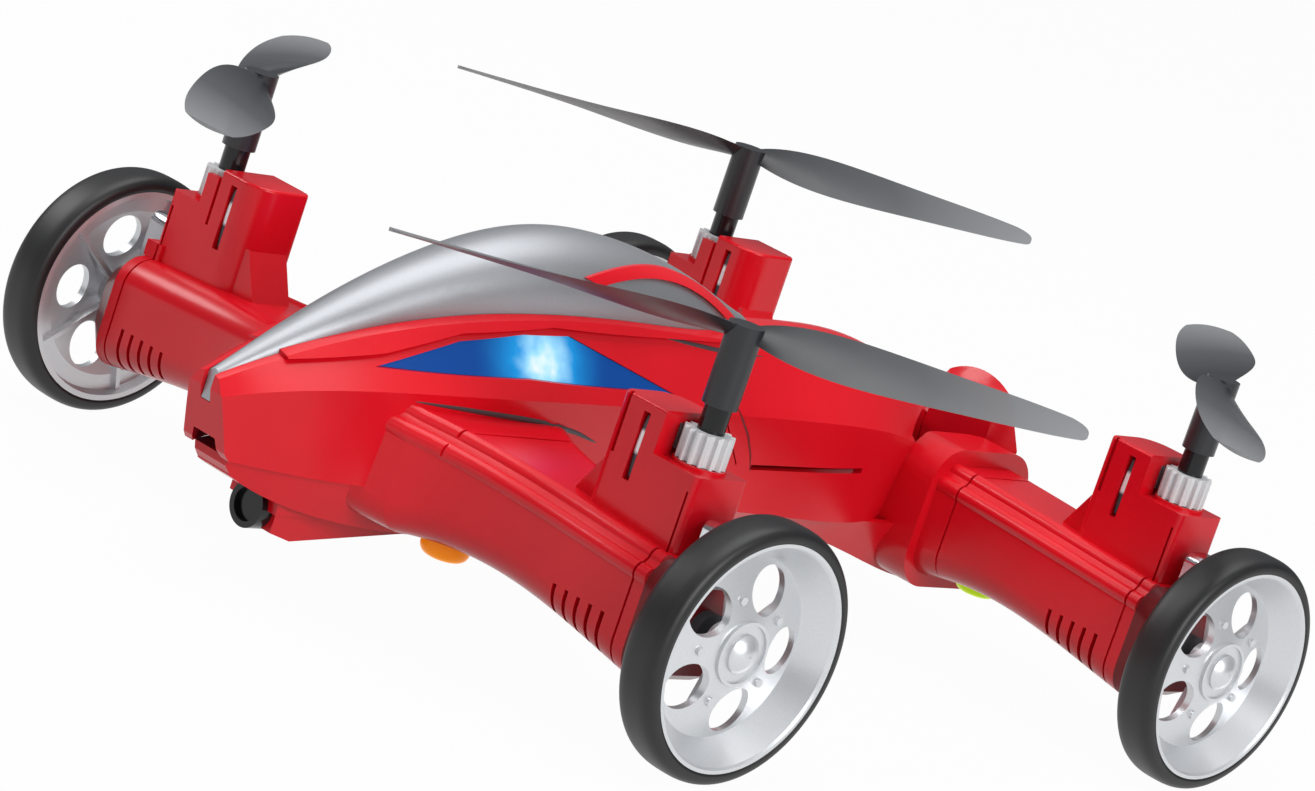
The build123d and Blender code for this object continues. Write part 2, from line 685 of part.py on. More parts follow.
def make_arm(stations, lamp_spot):
    """One arm about its axle: hollow beam with rails, tower, saddle, shaft bearing, vents and lamp hole."""
    with BuildPart() as arm:
        add(arm_loft(stations, 0))
        add(arm_rails(stations))
        add(TOWER)
        end_top = stations[-1][3]
        with Locations((SADDLE_X, ARM_END_Y - SADDLE_WIDTH, end_top - WALL)):
            Box(2 * SADDLE_HALF_LENGTH, SADDLE_WIDTH, SADDLE_TOP - end_top + WALL, align=ON_EDGE)
        with Locations((SADDLE_X, ARM_END_Y, end_top + PANEL_FIT)):
            Box(2 * SADDLE_HALF_LENGTH, SADDLE_OVERHANG, SADDLE_TOP - end_top - PANEL_FIT, align=ON_EDGE)
        add(arm_loft(stations, WALL), mode=Mode.SUBTRACT)
        add(TOWER_CUTS, mode=Mode.SUBTRACT)
        with Locations((0, ROTOR_Y, POCKET_Z)):
            Cylinder(BEARING_RING_RADIUS, BEARING_HEIGHT, align=BASE)
            ring_bore = BEARING_RING_RADIUS - BEARING_RING_WALL
            Cylinder(ring_bore, BEARING_HEIGHT, align=BASE, mode=Mode.SUBTRACT)
            Cylinder(BEARING_RADIUS, BEARING_HEIGHT, align=BASE)
        with Locations((0, ROTOR_Y, SHAFT_BOTTOM - RUNNING_CLEARANCE)):
            shaft_bore = SHAFT_RADIUS + RUNNING_CLEARANCE
            Cylinder(shaft_bore, TOWER_TOP - SHAFT_BOTTOM, align=BASE, mode=Mode.SUBTRACT)
        for vent in range(VENT_COUNT):
            length = VENT_LENGTH + vent * VENT_GROWTH
            with Locations((0, VENT_Y + (vent - VENT_COUNT // 2) * VENT_PITCH, VENT_TOP - length / 2)):
                Box(4 * stations[-1][1], VENT_WIDTH, length, mode=Mode.SUBTRACT)
        for y in ARM_GROOVES:
            add(ring_groove(stations, y), mode=Mode.SUBTRACT)
        with Locations(lamp_spot):
            Cylinder(LAMP_RADIUS, LAMP_HEIGHT, align=BASE, mode=Mode.SUBTRACT)
    return arm.part


front_arm = make_arm(FRONT_ARM_STATIONS, LAMP_SPOTS["front"])
rear_arm = make_arm(REAR_ARM_STATIONS, LAMP_SPOTS["rear"])

# Arm cap: closes the arm's end, with a seat for the axle pin and the grey bush round it
with BuildPart() as arm_cap:
    end_y, end_half, end_bottom, end_top = FRONT_ARM_STATIONS[-1]
    for y, inset in ((end_y, 0), (end_y + CAP_LENGTH, CAP_INSET)):
        with BuildSketch(Plane.XZ.offset(-y)):
            with Locations((0, (end_bottom + end_top) / 2)):
                RectangleRounded(2 * (end_half - inset), end_top - end_bottom - 2 * inset, ARM_CORNER)
    loft()
    with BuildSketch(Plane.XZ.offset(-AXLE_START_Y)):
        with Locations((0, WHEEL_RADIUS)):
            Circle(AXLE_RADIUS)
    extrude(amount=-AXLE_SEAT, mode=Mode.SUBTRACT)

with BuildPart() as axle_bush:
    with BuildSketch(Plane.XZ.offset(-(ARM_END_Y + CAP_LENGTH))):
        with Locations((0, WHEEL_RADIUS)):
            Circle(BUSH_RADIUS)
            Circle(AXLE_RADIUS, mode=Mode.SUBTRACT)
    extrude(amount=-BUSH_LENGTH)

with BuildPart() as axle:
    with BuildSketch(Plane.XZ.offset(-AXLE_START_Y)):
        with Locations((0, WHEEL_RADIUS)):
            Circle(AXLE_RADIUS)
    extrude(amount=AXLE_START_Y - HUB_Y + AXLE_SOCKET)

with BuildPart() as drive_can:
    with Locations((0, CAN_Y, CAN_BOTTOM)):
        Box(2 * CAN_HALF_DEPTH, 2 * CAN_HALF_THICKNESS, CAN_TOP - CAN_BOTTOM, align=BASE)
    fillet(drive_can.edges().filter_by(Axis.Y).group_by(Axis.Z)[-1], CAN_ROUND)
    add(arm_cap, mode=Mode.SUBTRACT)

with BuildPart() as flight_motor:
    with Locations((0, MOTOR_Y, MOTOR_BOTTOM)):
        Cylinder(MOTOR_RADIUS, MOTOR_TOP - MOTOR_BOTTOM, align=BASE)

# Wheel: dished disc with five holes, pins between them and ribs behind, and a blind hub that hides the axle
with BuildPart() as wheel_rim:
    with BuildSketch(Plane.XY.offset(WHEEL_RADIUS)):
        with BuildLine():
            Line((0, HUB_Y), (0, HUB_Y + HUB_STEP + HUB_DOME_HEIGHT))
            RadiusArc(
                (0, HUB_Y + HUB_STEP + HUB_DOME_HEIGHT),
                (HUB_DOME_RADIUS, HUB_Y + HUB_STEP),
                (HUB_DOME_RADIUS**2 + HUB_DOME_HEIGHT**2) / (2 * HUB_DOME_HEIGHT),
            )
            Polyline(
                (HUB_DOME_RADIUS, HUB_Y + HUB_STEP),
                (HUB_DOME_RADIUS, HUB_Y + HUB_FLOOR),
                (HUB_RADIUS - HUB_RING_WIDTH, HUB_Y + HUB_FLOOR),
                (HUB_RADIUS - HUB_RING_WIDTH, HUB_Y + HUB_STEP),
                (HUB_RADIUS, HUB_Y + HUB_STEP),
                (HUB_RADIUS, HUB_Y),
                (DISC_RADIUS, DISC_EDGE_Y),
                (RIM_RADIUS - RIM_WALL, WHEEL_FACE_Y - WHEEL_LIP_CHAMFER),
                (RIM_RADIUS - RIM_WALL + WHEEL_LIP_CHAMFER, WHEEL_FACE_Y),
                (RIM_RADIUS, WHEEL_FACE_Y),
                (RIM_RADIUS, WHEEL_INNER_Y),
                (RIM_RADIUS - RIM_WALL, WHEEL_INNER_Y),
                (RIM_RADIUS - RIM_ROOT_WALL, DISC_EDGE_Y - DISC_THICKNESS),
                (DISC_RADIUS, DISC_EDGE_Y - DISC_THICKNESS),
                (HUB_SLEEVE_RADIUS, HUB_Y - DISC_THICKNESS),
                (HUB_SLEEVE_RADIUS, WHEEL_INNER_Y),
                (AXLE_RADIUS + RUNNING_CLEARANCE, WHEEL_INNER_Y),
                (AXLE_RADIUS + RUNNING_CLEARANCE, HUB_Y),
                (0, HUB_Y),
            )
        make_face()
    revolve(axis=WHEEL_AXIS)
    face_plane = Plane(origin=(0, DISC_EDGE_Y, WHEEL_RADIUS), x_dir=(1, 0, 0), z_dir=(0, 1, 0))
    with BuildSketch(face_plane):
        with PolarLocations(WHEEL_HOLE_PITCH, WHEEL_HOLES, start_angle=WHEEL_PHASE):
            Circle(WHEEL_HOLE_RADIUS)
    extrude(amount=2 * DISC_DISH, both=True, mode=Mode.SUBTRACT)
    pin_angle = WHEEL_PHASE + 180 / WHEEL_HOLES
    with BuildSketch(face_plane):
        with PolarLocations(WHEEL_PIN_PITCH, WHEEL_HOLES, start_angle=pin_angle):
            Circle(WHEEL_PIN_RADIUS)
    extrude(amount=HUB_Y - WHEEL_PIN_DROP - DISC_EDGE_Y)
    rib_start_y = WHEEL_INNER_Y + WHEEL_RIB_INSET
    with BuildSketch(Plane(origin=(0, rib_start_y, WHEEL_RADIUS), x_dir=(1, 0, 0), z_dir=(0, 1, 0))):
        rib_middle = (HUB_SLEEVE_RADIUS + RIM_RADIUS - RIM_WALL) / 2
        with PolarLocations(rib_middle, WHEEL_HOLES, start_angle=pin_angle):
            Rectangle(RIM_RADIUS - HUB_SLEEVE_RADIUS, WHEEL_RIB_THICKNESS)
    extrude(amount=DISC_EDGE_Y - DISC_THICKNESS / 2 - rib_start_y)

# Tyre: a plain band with chamfered shoulders
with BuildPart() as tyre:
    with BuildSketch(Plane.XY.offset(WHEEL_RADIUS)):
        with BuildLine():
            half = [(RIM_RADIUS, WHEEL_FACE_Y)]
            half += [(WHEEL_RADIUS - drop, WHEEL_FACE_Y - inset) for drop, inset in TYRE_HALF]
            mirrored = [(r, WHEEL_FACE_Y + WHEEL_INNER_Y - y) for r, y in reversed(half)]
            Polyline(*half, *mirrored, close=True)
        make_face()
    revolve(axis=WHEEL_AXIS)

with BuildPart() as rotor_gear:
    with BuildSketch(Plane.XY.offset(GEAR_BOTTOM)):
        Circle(GEAR_RADIUS - GEAR_TOOTH_DEPTH)
        with PolarLocations(GEAR_RADIUS - GEAR_TOOTH_DEPTH, GEAR_TEETH):
            Trapezoid(GEAR_TOOTH_ROOT, 2 * GEAR_TOOTH_DEPTH, GEAR_TOOTH_SLOPE, rotation=-90)
        Circle(SHAFT_RADIUS, mode=Mode.SUBTRACT)
    extrude(amount=GEAR_HEIGHT)

with BuildPart() as rotor_shaft:
    with BuildSketch(Plane.XY.offset(SHAFT_BOTTOM)):
        Circle(SHAFT_RADIUS)
    extrude(amount=BLADE_Z - SHAFT_BOTTOM)
    with BuildSketch(Plane.XY.offset(SLEEVE_BOTTOM)):
        Circle(SLEEVE_RADIUS)
    extrude(amount=SLEEVE_TOP - SLEEVE_BOTTOM)


def make_rotor(hand):
    """A two-bladed rotor about the Z axis: twisted blades of lens-shaped section on a tubular hub."""
    with BuildPart() as blade:
        for radius, chord, pitch, thickness in BLADE_STATIONS:
            tilt = radians(pitch) * hand
            plane = Plane(
                origin=(radius, 0, BLADE_Z), x_dir=(0, cos(tilt), sin(tilt)), z_dir=(1, 0, 0)
            )
            with BuildSketch(plane):
                with BuildLine():
                    ThreePointArc((-chord / 2, 0), (0, thickness / 2), (chord / 2, 0))
                    ThreePointArc((chord / 2, 0), (0, -thickness / 2), (-chord / 2, 0))
                make_face()
        loft()
        with BuildSketch(Plane.XY.offset(BLADE_Z)):
            with Locations((ROTOR_RADIUS - BLADE_TIP_ROUND, 0)):
                Circle(BLADE_TIP_ROUND)
            with Locations(((ROTOR_RADIUS - BLADE_TIP_ROUND) / 2, 0)):
                Rectangle(ROTOR_RADIUS - BLADE_TIP_ROUND, 4 * BLADE_TIP_ROUND)
        extrude(amount=BLADE_CUT_DEPTH, both=True, mode=Mode.INTERSECT)
    with BuildPart() as rotor:
        with BuildSketch(Plane.XY.offset(SLEEVE_TOP)):
            Circle(ROTOR_HUB_RADIUS)
        extrude(amount=BLADE_Z + ROTOR_HUB_CAP - SLEEVE_TOP)
        with PolarLocations(0, 2):
            add(blade)
        with BuildSketch(Plane.XY.offset(SLEEVE_TOP)):
            Circle(SHAFT_RADIUS)
        extrude(amount=BLADE_Z - SLEEVE_TOP, mode=Mode.SUBTRACT)
    return rotor.part


ROTORS = {hand: make_rotor(hand) for hand in (1, -1)}

lamps = {}
for end, spot in LAMP_SPOTS.items():
    with BuildPart() as lamp:
        with Locations(spot):
            Cylinder(LAMP_RADIUS, LAMP_HEIGHT, align=BASE)
        fillet(lamp.edges().sort_by(Axis.Z)[0], LAMP_ROUND)
    lamps[end] = lamp

# Columns: name, axle x, turn about Z, arm shape, lamp, rotor angle, rotor hand.
CORNERS = [
    ("front_left", HALF_WHEELBASE, 0, front_arm, lamps["front"], -36, 1),
    ("front_right", HALF_WHEELBASE, 180, front_arm, lamps["front"], 40 + 180, -1),
    ("rear_left", -HALF_WHEELBASE, 0, rear_arm, lamps["rear"], 40, -1),
    ("rear_right", -HALF_WHEELBASE, 180, rear_arm, lamps["rear"], -36 + 180, 1),
]
for name, axle_x, turn, arm_shape, lamp_shape, angle, hand in CORNERS:
    spot = Location((axle_x, 0, 0), (0, 0, turn))
    centre = Location((axle_x, ROTOR_Y if turn == 0 else -ROTOR_Y, 0), (0, 0, angle))
    # Columns: piece, its shape, where it goes.
    pieces = [
        ("arm", arm_shape, spot),
        ("arm_cap", arm_cap, spot),
        ("axle_bush", axle_bush, spot),
        ("axle", axle, spot),
        ("drive_can", drive_can, spot),
        ("flight_motor", flight_motor, spot),
        ("wheel_rim", wheel_rim, spot),
        ("tyre", tyre, spot),
        ("lamp", lamp_shape, spot),
        ("rotor_gear", rotor_gear, centre),
        ("rotor_shaft", rotor_shaft, centre),
        ("rotor", ROTORS[hand], centre),
    ]
    for piece, shape, place in pieces:
        with BuildPart() as placed:
            with Locations(place):
                add(shape)
        finish(placed, f"{piece}_{name}")
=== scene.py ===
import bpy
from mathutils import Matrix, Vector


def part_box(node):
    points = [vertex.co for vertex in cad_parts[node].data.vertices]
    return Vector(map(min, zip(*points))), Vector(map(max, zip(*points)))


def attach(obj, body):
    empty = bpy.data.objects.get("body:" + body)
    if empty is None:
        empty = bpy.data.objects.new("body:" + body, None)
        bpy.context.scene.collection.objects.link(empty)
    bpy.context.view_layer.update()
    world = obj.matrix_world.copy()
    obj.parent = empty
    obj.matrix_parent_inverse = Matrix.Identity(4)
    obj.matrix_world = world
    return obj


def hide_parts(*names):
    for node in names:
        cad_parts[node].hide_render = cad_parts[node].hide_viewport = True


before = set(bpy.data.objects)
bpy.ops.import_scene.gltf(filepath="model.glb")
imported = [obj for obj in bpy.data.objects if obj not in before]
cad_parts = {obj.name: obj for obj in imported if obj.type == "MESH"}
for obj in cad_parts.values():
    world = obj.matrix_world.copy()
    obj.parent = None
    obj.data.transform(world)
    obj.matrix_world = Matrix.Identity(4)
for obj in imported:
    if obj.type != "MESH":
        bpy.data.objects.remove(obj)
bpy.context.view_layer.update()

import bpy
import numpy as np
from mathutils import Matrix, Vector

# The camera stands ahead of the toy on its left, a little above the rotors, with a long lens.
# The picture is rolled, so the toy looks banked in flight.
CAMERA_PLACE = (0.752025, 0.626276, 0.241428)
CAMERA_RIGHT = (-0.66000, 0.68141, 0.31635)
CAMERA_UP = (0.06285, -0.36953, 0.92709)
LENS_MM = 138.0
SENSOR_MM = 36.0

camera = bpy.data.objects.new("camera", bpy.data.cameras.new("camera"))
bpy.context.scene.collection.objects.link(camera)
camera.data.lens = LENS_MM
camera.data.sensor_width = SENSOR_MM
camera.data.sensor_fit = "HORIZONTAL"
right, up = Vector(CAMERA_RIGHT), Vector(CAMERA_UP)
turn = Matrix((right, up, right.cross(up))).transposed()
camera.matrix_world = Matrix.Translation(CAMERA_PLACE) @ turn.to_4x4()
bpy.context.scene.camera = camera
bpy.context.scene.view_settings.view_transform = "Standard"

# The floor is a wide sheet of pale paper. It shows white to the eye and to anything that mirrors it,
# keeps the toy's soft shadow, and throws back only part of the light that falls on it.
# Paper fibres lie about 0.1 mm apart; they are drawn 1.11 mm apart, because finer ones do not show.
MM = 0.001
FLOOR_SIZE = 24.0
PAPER_GLOW = 0.97
PAPER_GRAIN_MM = 1.11
PAPER_DARK, PAPER_LIGHT = "#AEAEAE", "#B6B6B6"


def linear(hex_colour):
    """An sRGB hex colour as linear RGBA: the sRGB curve is taken off each channel."""
    srgb = np.array([int(hex_colour[i : i + 2], 16) / 255 for i in (1, 3, 5)])
    flat = np.where(srgb <= 0.04045, srgb / 12.92, ((srgb + 0.055) / 1.055) ** 2.4)
    return (*flat, 1.0)


def add_node(tree, kind, inputs=None, stops=None, **settings):
    """Adds a node, sets what it is given, links sockets, and fills a colour ramp from its stops."""
    made = tree.nodes.new("ShaderNode" + kind)
    for name, value in settings.items():
        setattr(made, name, value)
    for name, value in (inputs or {}).items():
        if isinstance(value, bpy.types.NodeSocket):
            tree.links.new(value, made.inputs[name])
        else:
            made.inputs[name].default_value = value
    if stops:
        ramp = made.color_ramp.elements
        while len(ramp) < len(stops):
            ramp.new(0.5)
        for element, (place, colour) in zip(ramp, stops):
            element.position = place
            element.color = linear(colour)
    return made


def new_finish(name):
    """A material with an empty tree, its output, and its object coordinates."""
    material = bpy.data.materials.new(name)
    material.use_nodes = True
    tree = material.node_tree
    tree.nodes.clear()
    output = add_node(tree, "OutputMaterial")
    place = add_node(tree, "TexCoord").outputs["Object"]
    return material, tree, output.inputs["Surface"], place


paper, tree, surface, place = new_finish("pale_paper")
path = add_node(tree, "LightPath")
seen = add_node(
    tree,
    "Math",
    {0: path.outputs["Is Camera Ray"], 1: path.outputs["Is Glossy Ray"]},
    operation="ADD",
)
seen = add_node(
    tree,
    "Math",
    {0: seen.outputs[0], 1: path.outputs["Is Transmission Ray"]},
    operation="ADD",
    use_clamp=True,
)
glow = add_node(tree, "Math", {0: seen.outputs[0], 1: PAPER_GLOW}, operation="MULTIPLY")
grain = add_node(tree, "TexNoise", {"Vector": place, "Scale": 1.0 / (PAPER_GRAIN_MM * MM)})
paper_colour = add_node(
    tree, "ValToRGB", {"Fac": grain.outputs["Fac"]}, stops=[(0.0, PAPER_DARK), (1.0, PAPER_LIGHT)]
)
matt = add_node(tree, "BsdfDiffuse", {"Color": paper_colour.outputs["Color"]})
white = add_node(tree, "Emission", {"Color": linear("#FFFFFF"), "Strength": 1.0})
mixed = add_node(
    tree, "MixShader", {0: glow.outputs[0], 1: matt.outputs[0], 2: white.outputs[0]}
)
tree.links.new(mixed.outputs[0], surface)

half = FLOOR_SIZE / 2
floor_mesh = bpy.data.meshes.new("floor")
floor_mesh.from_pydata(
    [(-half, -half, 0), (half, -half, 0), (half, half, 0), (-half, half, 0)], [], [(0, 1, 2, 3)]
)
floor = bpy.data.objects.new("floor", floor_mesh)
floor_mesh.materials.append(paper)
bpy.context.scene.collection.objects.link(floor)

# Soft studio light: a pale room, a wide softbox overhead, one on the toy's left, a weak one ahead,
# and a small one on its right that draws the highlights on the faces that look ahead.
ROOM_STRENGTH = 0.7
ROOM_TONES = [(0.0, "#8E9094"), (0.15, "#7E8084"), (0.42, "#9C9EA2"), (0.8, "#E6E7E9")]
# Columns: name, place, target, width, depth, watts.
LAMPS = [
    ("top_softbox", (0.00, -0.05, 1.10), (0.0, 0.0, 0.0), 1.20, 0.90, 8.5),
    ("side_softbox", (0.25, 1.35, 0.55), (0.0, 0.0, 0.03), 0.90, 0.70, 13.5),
    ("front_softbox", (1.20, 0.10, 0.50), (0.0, 0.0, 0.03), 0.70, 0.60, 0.8),
    ("right_softbox", (0.45, -0.75, 0.68), (0.07, -0.06, 0.03), 0.50, 0.40, 4.0),
]
for name, spot, target, width, depth, watts in LAMPS:
    lamp = bpy.data.objects.new(name, bpy.data.lights.new(name, "AREA"))
    lamp.data.shape = "RECTANGLE"
    lamp.data.size = width
    lamp.data.size_y = depth
    lamp.data.energy = watts
    lamp.location = spot
    lamp.rotation_euler = (Vector(target) - Vector(spot)).to_track_quat("-Z", "Y").to_euler()
    bpy.context.scene.collection.objects.link(lamp)

room = bpy.data.worlds.new("room")
bpy.context.scene.world = room
room.use_nodes = True
room.node_tree.nodes.clear()
tree = room.node_tree
direction = add_node(tree, "TexCoord").outputs["Generated"]
height = add_node(tree, "SeparateXYZ", {0: direction}).outputs["Z"]
walls = add_node(tree, "ValToRGB", {"Fac": height}, stops=ROOM_TONES)
sky = add_node(tree, "Background", {"Color": walls.outputs["Color"], "Strength": ROOM_STRENGTH})
add_node(tree, "OutputWorld", {"Surface": sky.outputs[0]})

# Body shell, underbody, pod, hatch, rails and arms: ABS coloured red in the mass, moulded in
# polished tools and screwed together from below. A polished tool leaves a gloss with a faint orange
# peel, and the colour drifts a little as the plastic flows.
ABS_DRIFT_MM = 28.6
PEEL_DEPTH_MM = 0.2
SCUFF_SHARE = 0.15
CORNERS = ("front_left", "front_right", "rear_left", "rear_right")


def dress(material, *nodes):
    """Gives CAD nodes their finish."""
    for name in nodes:
        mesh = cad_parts[name].data
        mesh.materials.clear()
        mesh.materials.append(material)


def polished_abs(name, dark, light, roughness, peel_mm=1.5):
    """Gloss plastic: colour drifts between two near tones, and a shallow bump is the orange peel."""
    material, tree, surface, place = new_finish(name)
    drift = add_node(
        tree, "TexNoise", {"Vector": place, "Scale": 1.0 / (ABS_DRIFT_MM * MM), "Detail": 2.0}
    )
    colour = add_node(
        tree, "ValToRGB", {"Fac": drift.outputs["Fac"]}, stops=[(0.3, dark), (0.7, light)]
    )
    peel = add_node(
        tree, "TexNoise", {"Vector": place, "Scale": 1.0 / (peel_mm * MM), "Detail": 1.0}
    )
    scuff = add_node(
        tree,
        "MapRange",
        {
            "Value": peel.outputs["Fac"],
            "To Min": roughness * (1.0 - SCUFF_SHARE),
            "To Max": roughness * (1.0 + SCUFF_SHARE),
        },
    )
    bump = add_node(
        tree,
        "Bump",
        {"Height": peel.outputs["Fac"], "Strength": 0.04, "Distance": PEEL_DEPTH_MM * MM},
    )
    shader = add_node(
        tree,
        "BsdfPrincipled",
        {
            "Base Color": colour.outputs["Color"],
            "Roughness": scuff.outputs["Result"],
            "IOR": 1.53,
            "Specular IOR Level": 0.32,
            "Normal": bump.outputs["Normal"],
        },
    )
    tree.links.new(shader.outputs[0], surface)
    return material


red_abs = polished_abs("red_polished_abs", "#CC0A1B", "#D80F20", 0.24)
dress(red_abs, "body_shell", "body_floor", "camera_pod", "battery_hatch", "canopy_rails")
dress(red_abs, *(f"arm_{corner}" for corner in CORNERS))

# End caps: moulded in the same ABS in a darker red, and screwed on inboard of each wheel.
# A slightly worn tool leaves them a shade less glossy than the shell.
dark_abs = polished_abs("dark_red_abs", "#6E0C12", "#7C0E15", 0.3)
dress(dark_abs, *(f"arm_cap_{corner}" for corner in CORNERS))

# Canopy: ABS sprayed with silver lacquer and clipped into the shell. The flakes scatter the gloss,
# so it is pale all over with a broad soft highlight. Real flakes are some 0.03 mm across; they are
# drawn at 0.2 mm, because finer ones do not show.
FLAKE_MM = 0.2
FLAKE_DEPTH_MM = 0.05


def bright_metal(name, dark, light, roughness, metallic):
    """Metal or metallic paint: a cell pattern shifts the tone and tilts the normal a little."""
    material, tree, surface, place = new_finish(name)
    flake = add_node(tree, "TexVoronoi", {"Vector": place, "Scale": 1.0 / (FLAKE_MM * MM)})
    colour = add_node(
        tree, "ValToRGB", {"Fac": flake.outputs["Distance"]}, stops=[(0.0, light), (1.0, dark)]
    )
    bump = add_node(
        tree,
        "Bump",
        {"Height": flake.outputs["Distance"], "Strength": 0.02, "Distance": FLAKE_DEPTH_MM * MM},
    )
    shader = add_node(
        tree,
        "BsdfPrincipled",
        {
            "Base Color": colour.outputs["Color"],
            "Metallic": metallic,
            "Roughness": roughness,
            "Normal": bump.outputs["Normal"],
        },
    )
    tree.links.new(shader.outputs[0], surface)
    return material


dress(bright_metal("silver_canopy_lacquer", "#9EA0A4", "#A9ABAF", 0.45, 0.8), "canopy")

# Side lenses: clear polycarbonate tinted blue, pushed into the shell over a white LED on each side.
# The plastic is nearly white over the LED and a deep blue at its far ends. Its inside is ribbed to
# spread the light, which leaves cloudy patches some 4 mm across.
SIDES = (("left", 1), ("right", -1))
LED_PLACE = (0.0620, 0.0152, 0.0512)
LED_REACH = 0.018
LED_GLOW = 1.05
UNLIT_GLOW = 0.55
LENS_TONES = ("#04205A", "#0A54A6", "#1C9CE2", "#A8E6FF")
LENS_PATCH_MM = 4.17


def lit_lens(name, body, deep, bright, core, led, reach, strength):
    """Tinted clear plastic round its LED: the glow fades with distance and is broken by patches.

    body is the plastic's own colour; deep, bright and core are the glow's, from far to near.
    """
    material, tree, surface, place = new_finish(name)
    offset = add_node(tree, "VectorMath", {0: place, 1: led}, operation="SUBTRACT")
    far = add_node(tree, "VectorMath", {0: offset.outputs[0]}, operation="LENGTH")
    near = add_node(
        tree,
        "MapRange",
        {"Value": far.outputs["Value"], "From Max": reach, "To Min": 1.0, "To Max": 0.0},
        interpolation_type="SMOOTHSTEP",
    )
    patches = add_node(
        tree, "TexNoise", {"Vector": place, "Scale": 1.0 / (LENS_PATCH_MM * MM), "Detail": 2.0}
    )
    cloud = add_node(
        tree, "MapRange", {"Value": patches.outputs["Fac"], "To Min": 0.6, "To Max": 1.2}
    )
    tone = add_node(
        tree, "Math", {0: near.outputs["Result"], 1: cloud.outputs["Result"]}, operation="MULTIPLY"
    )
    colour = add_node(
        tree,
        "ValToRGB",
        {"Fac": tone.outputs[0]},
        stops=[(0.0, deep), (0.5, bright), (0.82, core), (1.0, "#FFFFFF")],
    )
    power = add_node(
        tree,
        "MapRange",
        {"Value": near.outputs["Result"], "To Min": UNLIT_GLOW, "To Max": strength},
    )
    shader = add_node(
        tree,
        "BsdfPrincipled",
        {
            "Base Color": linear(body),
            "Roughness": 0.25,
            "IOR": 1.58,
            "Specular IOR Level": 0.15,
            "Emission Color": colour.outputs["Color"],
            "Emission Strength": power.outputs["Result"],
        },
    )
    tree.links.new(shader.outputs[0], surface)
    return material


for side, sign in SIDES:
    led_place = (LED_PLACE[0], sign * LED_PLACE[1], LED_PLACE[2])
    blue_lens = lit_lens(f"blue_lens_{side}", *LENS_TONES, led_place, LED_REACH, LED_GLOW)
    dress(blue_lens, f"side_lens_{side}")

# Camera lens: a black ABS barrel with a dark glass front, pushed into the pod on the nose.
# It is polished and nearly black, so the eye sees one small sharp highlight.
black_abs = polished_abs("black_abs", "#0E0F11", "#17181B", 0.18)
dress(black_abs, "camera_lens")

# Axle bushes: rings of dark grey nylon, moulded and pressed into the end caps beside the wheels.
# Nylon comes out of its tool duller than ABS.
grey_nylon = polished_abs("dark_grey_nylon", "#36383B", "#45474B", 0.4)
dress(grey_nylon, *(f"axle_bush_{corner}" for corner in CORNERS))

# Axle pins: drawn steel rod, cut to length, run through the bushes and pressed into the wheels.
# Left bright, so they mirror the room in a narrow line.
steel = bright_metal("drawn_steel", "#8B9096", "#B9BEC3", 0.25, 1.0)
dress(steel, *(f"axle_{corner}" for corner in CORNERS))

# Motors: cans of pressed steel with a bright plating, one inboard of each wheel and one in each
# tower, pushed into their seats. The plating is smooth and mirrors more than the pins do.
can = bright_metal("pressed_motor_can", "#C9CCD0", "#DDE0E3", 0.18, 1.0)
dress(can, *(f"drive_can_{corner}" for corner in CORNERS))
dress(can, *(f"flight_motor_{corner}" for corner in CORNERS))

# Wheels: ABS moulded in one with its spokes, sprayed a fine satin silver and pressed on the pins.
# The spray hides the plastic's gloss, so the spokes carry a soft even sheen.
wheel_silver = bright_metal("satin_wheel_silver", "#D0D2D5", "#DCDEE0", 0.34, 0.65)
dress(wheel_silver, *(f"wheel_rim_{corner}" for corner in CORNERS))

# Tyres: soft black rubber, moulded as bands and stretched over the rims. Matt, with broad dull
# highlights on the shoulders, and dusty in patches some 11 mm across. The section is a soft square:
# a superellipse whose flat back sits on the rim.
RUBBER_DUST_MM = 11.1
PEBBLE_MM = 0.4
PEBBLE_DEPTH_MM = 0.1
TYRE_SECTION = 3.4
SECTION_POINTS = 36
TYRE_STEPS = 128


def moulded_rubber(name):
    """Rubber: nearly black with a dusty drift of tone and a fine pebbled bump."""
    material, tree, surface, place = new_finish(name)
    dust = add_node(
        tree, "TexNoise", {"Vector": place, "Scale": 1.0 / (RUBBER_DUST_MM * MM), "Detail": 4.0}
    )
    colour = add_node(
        tree, "ValToRGB", {"Fac": dust.outputs["Fac"]}, stops=[(0.3, "#0C0C0D"), (0.75, "#151517")]
    )
    pebble = add_node(tree, "TexNoise", {"Vector": place, "Scale": 1.0 / (PEBBLE_MM * MM)})
    bump = add_node(
        tree,
        "Bump",
        {"Height": pebble.outputs["Fac"], "Strength": 0.15, "Distance": PEBBLE_DEPTH_MM * MM},
    )
    shader = add_node(
        tree,
        "BsdfPrincipled",
        {
            "Base Color": colour.outputs["Color"],
            "Roughness": 0.45,
            "Normal": bump.outputs["Normal"],
        },
    )
    tree.links.new(shader.outputs[0], surface)
    return material


def ring_faces(rings, steps, closed=False):
    """Quads between neighbouring rings of points; closed also joins the last ring to the first."""
    row, column = np.indices((rings if closed else rings - 1, steps))
    next_row, next_column = (row + 1) % rings, (column + 1) % steps
    ends = ((row, column), (row, next_column), (next_row, next_column), (next_row, column))
    return np.stack([ring * steps + step for ring, step in ends], axis=-1).reshape(-1, 4)


def new_piece(name, points, faces, material):
    """A smooth mesh of the points and faces, in its material and in the scene."""
    mesh = bpy.data.meshes.new(name)
    mesh.from_pydata(points.tolist(), [], faces)
    mesh.shade_smooth()
    mesh.materials.append(material)
    piece = bpy.data.objects.new(name, mesh)
    bpy.context.scene.collection.objects.link(piece)
    return piece


